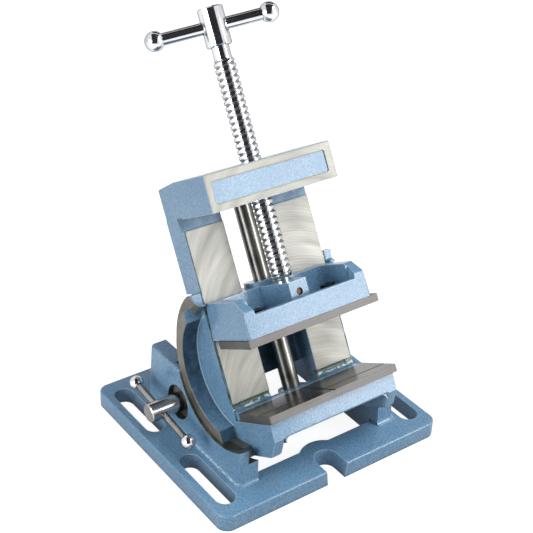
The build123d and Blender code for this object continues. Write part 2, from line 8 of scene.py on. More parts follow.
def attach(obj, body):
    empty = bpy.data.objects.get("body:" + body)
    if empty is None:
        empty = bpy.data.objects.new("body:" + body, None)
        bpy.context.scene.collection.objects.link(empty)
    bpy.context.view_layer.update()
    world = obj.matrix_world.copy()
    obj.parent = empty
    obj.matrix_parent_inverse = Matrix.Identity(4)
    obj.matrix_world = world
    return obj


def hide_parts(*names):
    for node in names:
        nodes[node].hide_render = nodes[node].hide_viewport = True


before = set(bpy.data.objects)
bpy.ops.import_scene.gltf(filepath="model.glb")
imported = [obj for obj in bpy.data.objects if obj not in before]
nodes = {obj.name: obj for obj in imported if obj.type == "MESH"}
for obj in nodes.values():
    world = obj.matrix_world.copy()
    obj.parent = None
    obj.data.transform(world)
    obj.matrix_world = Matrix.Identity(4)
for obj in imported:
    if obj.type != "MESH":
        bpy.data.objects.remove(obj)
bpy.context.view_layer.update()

# Places shared with the solids, in metres. The leaning body is measured
# out from its ways face and up from the fixed jaw's gripping face.
place = {
    "lean": math.radians(30),
    "pivotY": -0.0304,
    "pivotZ": 0.0777,
    "waysFromPivot": 0.0147,
    "gripBelowPivot": 0.0278,
    "lockY": 0.01357,
    "lockZ": 0.03120,
    "tipOut": 0.0040,
    "tipUp": 0.0796,
    "setScrewUp": 0.0650,
}
outward = Vector((0, -math.cos(place["lean"]), math.sin(place["lean"])))
upward = Vector((0, math.sin(place["lean"]), math.cos(place["lean"])))
pivot = Vector((0, place["pivotY"], place["pivotZ"]))
waysOrigin = pivot - outward * place["waysFromPivot"] - upward * place["gripBelowPivot"]


def bodyPoint(x, out, up):
    return waysOrigin + Vector((x, 0, 0)) + outward * out + upward * up


# Short ways to build node trees
def addNode(tree, kind, **settings):
    node = tree.nodes.new(kind)
    for key, value in settings.items():
        setattr(node, key, value)
    return node


def feed(tree, value, socket):
    if isinstance(value, bpy.types.NodeSocket):
        tree.links.new(value, socket)
    else:
        socket.default_value = value


def calc(tree, operation, first, second=0.0, third=0.0, clamp=False):
    node = addNode(tree, "ShaderNodeMath", operation=operation, use_clamp=clamp)
    for socket, value in zip(node.inputs, (first, second, third)):
        feed(tree, value, socket)
    return node.outputs[0]


def plus(tree, first, second):
    return calc(tree, "ADD", first, second)


def minus(tree, first, second):
    return calc(tree, "SUBTRACT", first, second)


def times(tree, first, second, clamp=False):
    return calc(tree, "MULTIPLY", first, second, clamp=clamp)


def mixColor(tree, factor, first, second):
    node = addNode(tree, "ShaderNodeMix", data_type="RGBA")
    feed(tree, factor, node.inputs[0])
    feed(tree, first, node.inputs[6])
    feed(tree, second, node.inputs[7])
    return node.outputs[2]


def mixValue(tree, factor, first, second):
    node = addNode(tree, "ShaderNodeMix", data_type="FLOAT")
    feed(tree, factor, node.inputs[0])
    feed(tree, first, node.inputs[2])
    feed(tree, second, node.inputs[3])
    return node.outputs[0]


def spread(tree, value, fromLow, fromHigh, toLow, toHigh):
    node = addNode(tree, "ShaderNodeMapRange")
    for socket, number in zip(node.inputs, (value, fromLow, fromHigh, toLow, toHigh)):
        feed(tree, number, socket)
    return node.outputs[0]


def scaled(tree, vector, factor):
    node = addNode(tree, "ShaderNodeVectorMath", operation="MULTIPLY")
    feed(tree, vector, node.inputs[0])
    node.inputs[1].default_value = factor
    return node.outputs[0]


def triple(tree, x, y, z):
    node = addNode(tree, "ShaderNodeCombineXYZ")
    for socket, value in zip(node.inputs, (x, y, z)):
        feed(tree, value, socket)
    return node.outputs[0]


def noise(tree, point, scale, detail=2.0, roughness=0.5):
    node = addNode(tree, "ShaderNodeTexNoise")
    feed(tree, point, node.inputs["Vector"])
    node.inputs["Scale"].default_value = scale
    node.inputs["Detail"].default_value = detail
    node.inputs["Roughness"].default_value = roughness
    return node.outputs["Fac"]


def objectPoint(tree):
    return addNode(tree, "ShaderNodeTexCoord").outputs["Object"]


def along(tree, point, direction, origin):
    node = addNode(tree, "ShaderNodeVectorMath", operation="DOT_PRODUCT")
    feed(tree, point, node.inputs[0])
    node.inputs[1].default_value = direction
    return minus(tree, node.outputs["Value"], origin.dot(direction))


def allOf(tree, *masks):
    result = masks[0]
    for mask in masks[1:]:
        result = times(tree, result, mask)
    return result


def anyOf(tree, *masks):
    result = masks[0]
    for mask in masks[1:]:
        result = calc(tree, "MAXIMUM", result, mask)
    return result


def farFrom(tree, first, second, firstCentre, secondCentre):
    a = minus(tree, first, firstCentre)
    b = minus(tree, second, secondCentre)
    return calc(tree, "SQRT", plus(tree, times(tree, a, a), times(tree, b, b)))


def places(tree):
    # x, y, z of the shared frame, then side from the middle, out from the ways,
    # up from the fixed jaw and turn from the pivot
    point = objectPoint(tree)
    split = addNode(tree, "ShaderNodeSeparateXYZ")
    feed(tree, point, split.inputs[0])
    x, y, z = split.outputs
    return {
        "point": point,
        "x": x,
        "y": y,
        "z": z,
        "side": calc(tree, "ABSOLUTE", x),
        "out": along(tree, point, outward, waysOrigin),
        "up": along(tree, point, upward, waysOrigin),
        "turn": farFrom(tree, y, z, place["pivotY"], place["pivotZ"]),
    }


def region(tree, at, limits):
    # 1 inside the limits and 0 outside, where None leaves a side open
    masks = []
    for key, (low, high) in limits.items():
        if low is not None:
            masks.append(calc(tree, "GREATER_THAN", at[key], low))
        if high is not None:
            masks.append(calc(tree, "LESS_THAN", at[key], high))
    return allOf(tree, *masks)


def blotches(tree, at, values):
    # A patchy share: the noise between the two cuts gives the share between its ends
    value = noise(tree, at["point"], values["scale"], values["detail"])
    return spread(tree, value, *values["cut"], *values["share"])


# Finishes
finish = {
    "specular": 0.22,
    "coat": 0.70,
    "coatRoughness": 0.16,
    "coatEndsAtMetal": 0.3,
    "cut": (0.35, 0.65),
    "wideCut": (0.3, 0.7),
    "fineScale": 14,
    "fineHeight": 0.2,
}
paint = {
    "color": (0.123, 0.253, 0.395, 1),
    "light": (0.228, 0.377, 0.530, 1),
    # The paler blue of the painted highlights
    "edge": (0.410, 0.550, 0.680, 1),
    "dark": (0.064, 0.155, 0.268, 1),
    # Dirt colour, also laid into the creases as painted shade
    "grimeAndShade": (0.022, 0.042, 0.028, 1),
    # The deep blue of the painted shade under the head
    "deep": (0.022, 0.054, 0.085, 1),
    "oil": (0.030, 0.056, 0.014, 1),
    "wet": (0.030, 0.085, 0.105, 1),
    "glint": (0.62, 0.72, 0.76, 1),
    "roughness": (0.37, 0.48),
    "grain": 780,
    "fleckCut": (0.36, 0.66),
    "evenShare": 0.45,
    "patches": 45,
    "patchCut": (0.3, 0.7),
    "patchShade": 0.25,
    # Painted highlight along the edges, then painted shade darkening the creases
    "edgeHighlightShare": 0.75,
    "edgeHighlightFrom": (0.6, 0.9),
    "creaseShadeShare": 0.75,
    "creaseShadeFrom": (0.9, 0.35),
    "creaseShadeGrain": 0.3,
    "creaseReach": 0.006,
    "bump": (0.8, 0.0007),
    "edgeRadius": 0.0011,
    "edgeCut": (0.99, 0.90),
}
milled = {
    "color": (0.585, 0.58, 0.54, 1),
    "dark": (0.305, 0.30, 0.270, 1),
    "roughness": (0.66, 0.50),
    "strokeRadius": 0.070,
    "cutterAt": 0.016,
    "strokeFrequency": 2200,
    "strokeCut": (0.41, 0.60),
    "broadScale": 120,
    "broadAcross": 0.3,
    "broadShare": 0.22,
    # Painted shade at the lower end of the ways
    "lowShadeFrom": (0.006, 0.060),
    "lowShadeShare": 0.26,
    "headShade": 0.35,
    "height": 0.07,
    "metal": 0.36,
}
turned = {
    "color": (0.240, 0.228, 0.205, 1),
    "dark": (0.120, 0.114, 0.100, 1),
    "roughness": (0.36, 0.50),
    "ringFrequency": 2600,
    "ringAcross": 0.2,
    "stainScale": 70,
    "stainShare": 0.6,
    "height": 0.12,
    "metal": 0.75,
    "cotterHeight": 0.5,
    "cotterMetal": 0.8,
    "bump": (0.1, 0.0001),
}


def edgeMask(tree):
    # 1 where the rounded normal turns away from the face, so along the edges
    soft = addNode(tree, "ShaderNodeBevel", samples=6)
    soft.inputs["Radius"].default_value = paint["edgeRadius"]
    flat = addNode(tree, "ShaderNodeNewGeometry")
    turnedBy = addNode(tree, "ShaderNodeVectorMath", operation="DOT_PRODUCT")
    tree.links.new(soft.outputs[0], turnedBy.inputs[0])
    tree.links.new(flat.outputs["Normal"], turnedBy.inputs[1])
    return spread(tree, turnedBy.outputs["Value"], *paint["edgeCut"], 0, 1)


def openness(tree):
    # 0 deep in a crease, 1 on an open face
    node = addNode(tree, "ShaderNodeAmbientOcclusion", samples=8)
    node.inputs["Distance"].default_value = paint["creaseReach"]
    return node.outputs["AO"]


def paintLook(tree, at):
    grain = noise(tree, at["point"], paint["grain"], 3, 0.6)
    patches = noise(tree, at["point"], paint["patches"], 2)
    fleck = spread(tree, grain, *paint["fleckCut"], 0, 1)
    color = mixColor(tree, fleck, paint["dark"], paint["light"])
    color = mixColor(tree, paint["evenShare"], color, paint["color"])
    shade = spread(tree, patches, *paint["patchCut"], 0, paint["patchShade"])
    color = mixColor(tree, shade, color, paint["dark"])
    # Painted highlight along the edges, and painted shade darkening the creases from the occlusion
    openFace = openness(tree)
    edgeHighlight = spread(tree, openFace, *paint["edgeHighlightFrom"], 0, paint["edgeHighlightShare"])
    color = mixColor(tree, times(tree, edgeMask(tree), edgeHighlight), color, paint["edge"])
    crease = plus(tree, openFace, times(tree, grain, paint["creaseShadeGrain"]))
    creaseShade = spread(tree, crease, *paint["creaseShadeFrom"], 0, paint["creaseShadeShare"])
    color = mixColor(tree, creaseShade, color, paint["grimeAndShade"])
    rough = spread(tree, patches, *paint["patchCut"], *paint["roughness"])
    return color, rough, grain


def milledLook(tree, at):
    # Overlapping arcs of a face cutter that travels up the ways
    radius = milled["strokeRadius"]
    across = minus(tree, at["x"], milled["cutterAt"])
    inside = minus(tree, radius * radius, times(tree, across, across))
    arc = minus(tree, at["up"], calc(tree, "SQRT", calc(tree, "MAXIMUM", inside, 0.0)))
    stroke = noise(tree, triple(tree, arc, 0.0, 0.0), milled["strokeFrequency"], 4, 0.65)
    slant = times(tree, at["x"], milled["broadAcross"])
    broad = noise(tree, triple(tree, arc, slant, 0.0), milled["broadScale"], 1)
    value = mixValue(tree, milled["broadShare"], stroke, broad)
    lit = spread(tree, value, *milled["strokeCut"], 0, 1)
    color = mixColor(tree, lit, milled["dark"], milled["color"])
    # Painted shade darkens the lower end, which the jaw above shades
    lowShade = spread(tree, at["up"], *milled["lowShadeFrom"], milled["lowShadeShare"], 0)
    color = mixColor(tree, lowShade, color, milled["dark"])
    rough = spread(tree, value, *finish["cut"], *milled["roughness"])
    return color, rough, stroke


def turnedLook(tree, at):
    # Fine rings round the pivot, with some oil staining
    slant = times(tree, at["x"], turned["ringAcross"])
    rings = noise(tree, triple(tree, at["turn"], slant, 0.0), turned["ringFrequency"], 2, 0.6)
    stain = noise(tree, at["point"], turned["stainScale"], 3)
    value = mixValue(tree, turned["stainShare"], rings, stain)
    color = mixColor(tree, spread(tree, value, *finish["cut"], 0, 1), turned["dark"], turned["color"])
    rough = spread(tree, stain, *finish["wideCut"], *turned["roughness"])
    return color, rough, rings


def blendLooks(tree, looks, masks):
    # The first look lies everywhere, and each mask lays the next one over it
    color, rough, height, metal = looks[0]
    for (nextColor, nextRough, nextHeight, nextMetal), mask in zip(looks[1:], masks):
        color = mixColor(tree, mask, color, nextColor)
        rough = mixValue(tree, mask, rough, nextRough)
        height = mixValue(tree, mask, height, nextHeight)
        metal = mixValue(tree, mask, metal, nextMetal)
    return color, rough, height, metal


def finishedMaterial(name, makeLook, values):
    material = bpy.data.materials.new(name)
    material.use_nodes = True
    tree = material.node_tree
    shader = tree.nodes["Principled BSDF"]
    color, rough, height, metal = makeLook(tree, places(tree))
    feed(tree, color, shader.inputs["Base Color"])
    feed(tree, rough, shader.inputs["Roughness"])
    feed(tree, metal, shader.inputs["Metallic"])
    # Only clean paint has a clear coat
    if isinstance(metal, bpy.types.NodeSocket):
        coat = spread(tree, metal, 0, finish["coatEndsAtMetal"], finish["coat"], 0)
        feed(tree, coat, shader.inputs["Coat Weight"])
    elif metal < finish["coatEndsAtMetal"]:
        shader.inputs["Coat Weight"].default_value = finish["coat"]
    shader.inputs["Coat Roughness"].default_value = finish["coatRoughness"]
    shader.inputs["Specular IOR Level"].default_value = finish["specular"]
    edgeTint = values.get("edgeTint", 1.0)
    shader.inputs["Specular Tint"].default_value = (edgeTint, edgeTint, edgeTint, 1)
    bump = addNode(tree, "ShaderNodeBump")
    bump.inputs["Strength"].default_value, bump.inputs["Distance"].default_value = values["bump"]
    feed(tree, height, bump.inputs["Height"])
    if "edgeRadius" in values:
        bevel = addNode(tree, "ShaderNodeBevel", samples=4)
        bevel.inputs["Radius"].default_value = values["edgeRadius"]
        tree.links.new(bevel.outputs[0], bump.inputs["Normal"])
    tree.links.new(bump.outputs[0], shader.inputs["Normal"])
    return material


# The base's bare faces and a painted highlight at the walls' foot
baseFaces = {
    "seat": {"turn": (0.0484, 0.0494), "side": (None, 0.0645)},
    "rabbet": {"turn": (0.0485, 0.0586), "side": (0.0500, 0.0577)},
    "lockBore": {"fromLock": (None, 0.0122), "x": (-0.0655, -0.0495)},
    "wallFoot": {"side": (0.0645, 0.0654), "z": (0.0121, 0.0135)},
    "footGlintPatches": {"scale": 700, "detail": 3, "cut": (0.42, 0.60), "share": (0.05, 0.60)},
    "oilPatches": {"scale": 110, "detail": 3, "cut": (0.3, 0.6), "share": (0.35, 0.9)},
    "height": 0.2,
    "metal": 0.6,
}


def baseLook(tree, at):
    at["fromLock"] = farFrom(tree, at["y"], at["z"], place["lockY"], place["lockZ"])
    machined = anyOf(tree, *(region(tree, at, baseFaces[key]) for key in ("seat", "rabbet", "lockBore")))
    color, rough, grain = paintLook(tree, at)
    # A painted highlight along the rounding at the walls' foot
    foot = times(tree, region(tree, at, baseFaces["wallFoot"]), blotches(tree, at, baseFaces["footGlintPatches"]))
    color = mixColor(tree, foot, color, paint["glint"])
    bareColor, bareRough, rings = turnedLook(tree, at)
    oily = mixColor(tree, blotches(tree, at, baseFaces["oilPatches"]), bareColor, paint["grimeAndShade"])
    bare = (oily, bareRough, times(tree, rings, baseFaces["height"]), baseFaces["metal"])
    return blendLooks(tree, [(color, rough, grain, 0.0), bare], [machined])


# The leaning body's machined faces, then its oily paint, painted shade and painted highlights
bodyFaces = {
    "ways": {"out": (-0.0003, 0.0003), "up": (0.0049, 0.1196), "side": (None, 0.0486)},
    "head": {"out": (0.03965, None), "up": (0.1279, None)},
    "ring": {"turn": (0.0410, 0.0492), "side": (0.0610, None)},
    "rim": {"turn": (0.0487, None), "side": (0.0499, None), "out": (None, 0.0118), "fromTip": (0.0073, None)},
    "tip": {"turn": (None, 0.0487), "side": (0.0530, None), "out": (-0.0076, None), "up": (0.0560, None),
            "fromTip": (0.0073, None)},
    "oilyFoot": {"out": (-0.0040, 0.0030), "up": (0.0018, 0.0052), "side": (None, 0.0495)},
    "oilyEdge": {"out": (-0.0017, 0.0012), "up": (0.0049, 0.1240), "side": (0.0482, 0.0500)},
    "oilLine": {"out": (-0.0010, 0.0030), "up": (0.0034, 0.0050), "side": (None, 0.0495)},
    "rounding": {"out": (-0.0008, 0.0050), "up": (-0.0004, 0.0036), "side": (None, 0.0495)},
    "glintBand": {"up": (0.0006, 0.0026)},
    # Places that take painted shade
    "underHead": {"out": (-0.0060, 0.0006), "up": (0.1196, 0.1285), "side": (None, 0.0486)},
    "toe": {"out": (0.0116, 0.0124), "side": (0.0499, None)},
    "inRing": {"turn": (0.0400, 0.0418), "side": (0.0505, None)},
    "ringEnd": {"turn": (0.0405, 0.0495), "side": (0.0505, None), "out": (-0.0044, -0.0036),
                "up": (None, 0.0)},
    "betweenWays": {"side": (None, 0.0166), "out": (None, -0.0060), "up": (None, 0.1290)},
    # Where the web meets the ring, for a painted highlight
    "cornerHighlight": {"turn": (0.0410, 0.0418), "side": (0.0490, 0.0502), "out": (None, -0.0040)},
    "oilPatches": {"scale": 160, "detail": 3, "cut": (0.35, 0.6), "share": (0.45, 1.0)},
    "wetPatches": {"scale": 190, "detail": 2, "cut": (0.40, 0.60), "share": (0.25, 0.9)},
    "glints": {"scale": (260, 520, 520), "cut": (0.52, 0.64), "share": (0, 0.9)},
    "ringFade": {"up": (-0.020, 0.032), "share": (0.05, 1.15)},
    "headFade": {"up": (0.1270, 0.1215), "share": (0, 1)},
    # Shares of the painted shade, the line of oil, the painted highlight by the ring and the metal
    "paintedShadeShare": (0.6, 0.85),
    "oilLineShare": 0.9,
    "cornerHighlightShare": 0.8,
    "oilAndShadeMetal": 0.25,
}


def faded(tree, at, values):
    return spread(tree, at["up"], *values["up"], *values["share"])


def bodyLook(tree, at):
    at["fromTip"] = farFrom(tree, at["out"], at["up"], place["tipOut"], place["tipUp"])

    def mask(*keys):
        return anyOf(tree, *(region(tree, at, bodyFaces[key]) for key in keys))

    # Old oil along the foot and the outer edges of the ways
    color, rough, grain = paintLook(tree, at)
    patchy = blotches(tree, at, bodyFaces["oilPatches"])
    atFoot = mask("oilyFoot")
    oil = times(tree, anyOf(tree, atFoot, mask("oilyEdge")), patchy)
    color = mixColor(tree, oil, color, mixColor(tree, atFoot, paint["grimeAndShade"], paint["oil"]))
    # Painted shade under the head, deepest at the top, at the ends of the tongue
    # and the ring, inside the ring and between the ways
    underHead = mask("underHead")
    inRing = times(tree, mask("inRing"), faded(tree, at, bodyFaces["ringFade"]))
    paintedShade = anyOf(tree, underHead, inRing, mask("toe", "ringEnd", "betweenWays"))
    paintedShade = times(tree, paintedShade, spread(tree, patchy, *bodyFaces["oilPatches"]["share"], *bodyFaces["paintedShadeShare"]))
    brighter = times(tree, underHead, faded(tree, at, bodyFaces["headFade"]))
    color = mixColor(tree, paintedShade, color, mixColor(tree, brighter, paint["deep"], paint["dark"]))
    # The wet rounding at the foot of the ways, with glints and a line of oil
    rounding = mask("rounding")
    wet = times(tree, rounding, blotches(tree, at, bodyFaces["wetPatches"]))
    color = mixColor(tree, wet, color, paint["wet"])
    glints = bodyFaces["glints"]
    streaks = noise(tree, scaled(tree, at["point"], glints["scale"]), 1.0, 2)
    streaks = spread(tree, streaks, *glints["cut"], *glints["share"])
    color = mixColor(tree, allOf(tree, rounding, mask("glintBand"), streaks), color, paint["glint"])
    color = mixColor(tree, times(tree, mask("oilLine"), bodyFaces["oilLineShare"]), color, paint["oil"])
    # A painted highlight where the web meets the ring
    color = mixColor(tree, times(tree, mask("cornerHighlight"), bodyFaces["cornerHighlightShare"]), color, paint["edge"])
    metal = times(tree, anyOf(tree, oil, paintedShade), bodyFaces["oilAndShadeMetal"])

    bareColor, bareRough, rings = turnedLook(tree, at)
    bare = (bareColor, bareRough, times(tree, rings, turned["height"]), turned["metal"])
    waysColor, waysRough, stroke = milledLook(tree, at)
    onHead = mask("head")
    waysColor = mixColor(tree, times(tree, onHead, milled["headShade"]), waysColor, milled["dark"])
    ways = (waysColor, waysRough, times(tree, stroke, milled["height"]), milled["metal"])
    masks = [mask("ring", "rim", "tip"), anyOf(tree, mask("ways"), onHead)]
    return blendLooks(tree, [(color, rough, grain, metal), bare, ways], masks)


def jawLook(tree, at):
    return (*paintLook(tree, at), 0.0)


def cotterLook(tree, at):
    color, rough, _ = turnedLook(tree, at)
    return color, rough, turned["cotterHeight"], turned["cotterMetal"]


groundPlate = {
    "color": (0.128, 0.124, 0.122, 1),
    "dark": (0.070, 0.067, 0.065, 1),
    # The darkest colour, laid into the grooves as painted shade
    "oil": (0.012, 0.012, 0.009, 1),
    "roughness": (0.36, 0.52),
    "gripRoughness": 0.27,
    "gripping": {"up": (-0.00005, 0.0005)},
    "lineScale": (30, 1400, 1400),
    "stainScale": 60,
    "stainShare": 0.55,
    "cut": (0.38, 0.62),
    "grooveShadeFrom": (0.93, 0.60),
    "grooveShadeShare": 0.85,
    "height": 0.2,
    "metal": 0.8,
    "bump": (0.25, 0.0001),
    "edgeRadius": 0.0003,
}


def plateLook(tree, at):
    lines = noise(tree, scaled(tree, at["point"], groundPlate["lineScale"]), 1.0, 2, 0.6)
    stain = noise(tree, at["point"], groundPlate["stainScale"], 3)
    value = mixValue(tree, groundPlate["stainShare"], lines, stain)
    lit = spread(tree, value, *groundPlate["cut"], 0, 1)
    color = mixColor(tree, lit, groundPlate["dark"], groundPlate["color"])
    # Painted shade darkens the grooves, and the fixed plate's gripping face is smoother
    grooveShade = spread(tree, openness(tree), *groundPlate["grooveShadeFrom"], 0, groundPlate["grooveShadeShare"])
    color = mixColor(tree, grooveShade, color, groundPlate["oil"])
    rough = spread(tree, value, *finish["cut"], *groundPlate["roughness"])
    gripping = region(tree, at, groundPlate["gripping"])
    rough = mixValue(tree, gripping, rough, groundPlate["gripRoughness"])
    return color, rough, times(tree, lines, groundPlate["height"]), groundPlate["metal"]


chromePlate = {
    "color": (0.80, 0.81, 0.83, 1),
    "dark": (0.66, 0.67, 0.69, 1),
    "roughness": (0.065, 0.115),
    "patches": 90,
    "bump": (0.08, 0.00005),
    "edgeRadius": 0.0003,
    "edgeTint": 0.25,
}
hubSteel = {
    "color": (0.60, 0.59, 0.575, 1),
    "dark": (0.46, 0.45, 0.44, 1),
    "roughness": (0.14, 0.20),
    "patches": 80,
    "bump": (0.1, 0.00005),
    "edgeRadius": 0.0003,
    "edgeTint": 0.3,
}
dullSteel = {
    "color": (0.40, 0.385, 0.37, 1),
    "dark": (0.26, 0.25, 0.24, 1),
    "roughness": (0.17, 0.23),
    "patches": 80,
    "bump": (0.1, 0.00005),
    "edgeRadius": 0.0003,
    "edgeTint": 0.3,
}
darkRod = {
    "color": (0.235, 0.236, 0.215, 1),
    "dark": (0.135, 0.136, 0.122, 1),
    "roughness": (0.27, 0.35),
    "patches": 70,
    "bump": (0.15, 0.00005),
}
copperFace = {
    "color": (0.16, 0.092, 0.072, 1),
    "dark": (0.045, 0.030, 0.026, 1),
    # The dark rim is painted shade from the hole round the screw
    "rim": (0.020, 0.018, 0.017, 1),
    "rimShadeFrom": (0.0013, 0.0018),
    "rimShadeShare": 0.85,
    "roughness": (0.40, 0.50),
    "patches": 500,
    "bump": (0.3, 0.0001),
}
blackOxide = {
    "color": (0.040, 0.040, 0.043, 1),
    "dark": (0.020, 0.020, 0.022, 1),
    "roughness": (0.37, 0.47),
    "patches": 300,
    "bump": (0.2, 0.0001),
}


def metalLook(values):
    def look(tree, at):
        stain = noise(tree, at["point"], values["patches"], 3)
        lit = spread(tree, stain, *finish["cut"], 0, 1)
        color = mixColor(tree, lit, values["dark"], values["color"])
        rough = spread(tree, stain, *finish["wideCut"], *values["roughness"])
        fine = noise(tree, at["point"], values["patches"] * finish["fineScale"], 2)
        return color, rough, times(tree, fine, finish["fineHeight"]), 1.0
    return look


def copperLook(tree, at):
    # Painted shade towards the rim, from the hole round the screw
    color, rough, height, metal = metalLook(copperFace)(tree, at)
    fromAxis = farFrom(tree, at["x"], at["up"], 0.0, place["setScrewUp"])
    rim = spread(tree, fromAxis, *copperFace["rimShadeFrom"], 0, copperFace["rimShadeShare"])
    return mixColor(tree, rim, color, copperFace["rim"]), rough, height, metal


def dress(material, *names):
    for name in names:
        for materialSlot in nodes[name].material_slots:
            materialSlot.material = material


dress(finishedMaterial("BaseFinish", baseLook, paint), "base")
dress(finishedMaterial("BodyFinish", bodyLook, paint), "tilting_body")
dress(finishedMaterial("JawFinish", jawLook, paint), "movable_jaw")
dress(finishedMaterial("GroundPlate", plateLook, groundPlate), "fixed_jaw_plate", "movable_jaw_plate")
dress(finishedMaterial("Chrome", metalLook(chromePlate), chromePlate),
      "lock_ball_front", "lock_ball_rear", "lead_tee_bar", "lead_ball_left", "lead_ball_right")
dress(finishedMaterial("HubSteel", metalLook(hubSteel), hubSteel), "lock_screw")
dress(finishedMaterial("DullSteel", metalLook(dullSteel), dullSteel), "lock_tee_bar")
dress(finishedMaterial("TurnedSteel", cotterLook, turned), "lock_outer_cotter", "lock_inner_cotter")
dress(finishedMaterial("RodSteel", metalLook(darkRod), darkRod), "guide_rod", "guide_rod_pin")
dress(finishedMaterial("Copper", copperLook, copperFace), "jaw_set_screw")
dress(finishedMaterial("BlackOxide", metalLook(blackOxide), blackOxide),
      "fixed_plate_screws", "movable_plate_screws")
print("materials on", len(nodes), "solids")

# Lead screw with a cut thread
thread = {
    "foot": 0.0748,
    "top": 0.2177,
    "pitch": 0.004,
    "crestRadius": 0.0070,
    "rootRadius": 0.0059,
    "crestWidth": 1.9,
    "rowsPerTurn": 13,
    "segments": 48,
    "fade": 0.0022,
    "weld": 0.00001,
    "solidWeld": 1e-6,
    "cutSlack": 1e-7,
    "fromWays": 0.0198,
    "overlap": 0.0001,
    "sharpFrom": math.radians(32),
    "greased": {"up": (0.074, 0.2172)},
    "greaseDepth": (0.0059, 0.0068),
    "greaseAndShade": (0.16, 0.15, 0.14, 1),
    "greaseAndShadeShare": 0.55,
    "greaseRoughness": 0.3,
    "bump": (0.08, 0.00005),
    "edgeTint": 0.25,
}


def screwLook(tree, at):
    # Chrome, with a greasy colour and painted shade darkening the thread's roots
    color, rough, height, metal = metalLook(chromePlate)(tree, at)
    fromAxis = farFrom(tree, at["x"], at["out"], 0.0, thread["fromWays"])
    inRoot = spread(tree, fromAxis, *thread["greaseDepth"], 1, 0)
    root = times(tree, region(tree, at, thread["greased"]), inRoot)
    color = mixColor(tree, times(tree, root, thread["greaseAndShadeShare"]), color, thread["greaseAndShade"])
    rough = mixValue(tree, root, rough, thread["greaseRoughness"])
    return color, rough, height, metal


def threadTree():
    group = bpy.data.node_groups.new("CutThread", "GeometryNodeTree")
    sockets = {}
    for name, kind in (("Length", "NodeSocketFloat"), ("Pitch", "NodeSocketFloat"),
                       ("Crest Radius", "NodeSocketFloat"), ("Root Radius", "NodeSocketFloat"),
                       ("Fade", "NodeSocketFloat"), ("Segments", "NodeSocketInt"),
                       ("Material", "NodeSocketMaterial")):
        sockets[name] = group.interface.new_socket(name, in_out="INPUT", socket_type=kind).identifier
    group.interface.new_socket("Geometry", in_out="OUTPUT", socket_type="NodeSocketGeometry")
    given = addNode(group, "NodeGroupInput").outputs
    # A grid one pitch wide, wound into a helix
    turns = plus(group, calc(group, "CEIL", calc(group, "DIVIDE", given["Length"], given["Pitch"])), 1.0)
    grid = addNode(group, "GeometryNodeMeshGrid")
    feed(group, plus(group, times(group, turns, given["Segments"]), 1.0), grid.inputs["Vertices X"])
    grid.inputs["Vertices Y"].default_value = thread["rowsPerTurn"]
    grid.inputs["Size X"].default_value = 1
    grid.inputs["Size Y"].default_value = 1
    split = addNode(group, "ShaderNodeSeparateXYZ")
    feed(group, addNode(group, "GeometryNodeInputPosition").outputs[0], split.inputs[0])
    around = times(group, plus(group, split.outputs[0], 0.5), turns)
    step = plus(group, split.outputs[1], 0.5)
    rise = minus(group, plus(group, around, step), 1.0)
    height = times(group, rise, given["Pitch"])
    # A rounded root and a flat crest over one pitch
    wave = calc(group, "COSINE", times(group, step, math.tau))
    tooth = minus(group, 0.5, times(group, wave, 0.5))
    tooth = times(group, tooth, thread["crestWidth"], clamp=True)
    toEnd = calc(group, "MINIMUM", height, minus(group, given["Length"], height))
    faded = times(group, tooth, calc(group, "DIVIDE", toEnd, given["Fade"], clamp=True))
    depth = minus(group, given["Crest Radius"], given["Root Radius"])
    radius = plus(group, given["Root Radius"], times(group, faded, depth))
    angle = times(group, around, math.tau)
    capped = calc(group, "MAXIMUM", calc(group, "MINIMUM", height, given["Length"]), 0.0)
    spot = triple(group, times(group, radius, calc(group, "COSINE", angle)),
                  times(group, radius, calc(group, "SINE", angle)), capped)
    placed = addNode(group, "GeometryNodeSetPosition")
    group.links.new(grid.outputs["Mesh"], placed.inputs["Geometry"])
    feed(group, spot, placed.inputs["Position"])
    joined = addNode(group, "GeometryNodeJoinGeometry")
    for level in (0.0, given["Length"]):
        cap = addNode(group, "GeometryNodeMeshCircle", fill_type="NGON")
        feed(group, given["Segments"], cap.inputs["Vertices"])
        feed(group, given["Root Radius"], cap.inputs["Radius"])
        lifted = addNode(group, "GeometryNodeSetPosition")
        group.links.new(cap.outputs["Mesh"], lifted.inputs["Geometry"])
        feed(group, triple(group, 0.0, 0.0, level), lifted.inputs["Offset"])
        group.links.new(lifted.outputs[0], joined.inputs[0])
    group.links.new(placed.outputs[0], joined.inputs[0])
    merged = addNode(group, "GeometryNodeMergeByDistance")
    group.links.new(joined.outputs[0], merged.inputs["Geometry"])
    merged.inputs["Distance"].default_value = thread["weld"]
    realized = addNode(group, "GeometryNodeRealizeInstances")
    group.links.new(merged.outputs[0], realized.inputs[0])
    coated = addNode(group, "GeometryNodeSetMaterial")
    group.links.new(realized.outputs[0], coated.inputs["Geometry"])
    feed(group, given["Material"], coated.inputs["Material"])
    group.links.new(coated.outputs[0], addNode(group, "NodeGroupOutput").inputs[0])
    return group, sockets


def meshFromTree(group, values):
    holder = bpy.data.objects.new("Holder", bpy.data.meshes.new("Holder"))
    bpy.context.scene.collection.objects.link(holder)
    modifier = holder.modifiers.new("Shape", "NODES")
    modifier.node_group = group
    for identifier, value in values.items():
        modifier[identifier] = value
    evaluated = holder.evaluated_get(bpy.context.evaluated_depsgraph_get())
    mesh = bpy.data.meshes.new_from_object(evaluated)
    holder.modifiers.remove(modifier)
    bpy.data.objects.remove(holder)
    return mesh


def bodyMatrix(x, out, up):
    side = upward.cross(Vector((1, 0, 0)))
    turn = Matrix((Vector((1, 0, 0)), side, upward)).transposed().to_4x4()
    return Matrix.Translation(bodyPoint(x, out, up)) @ turn


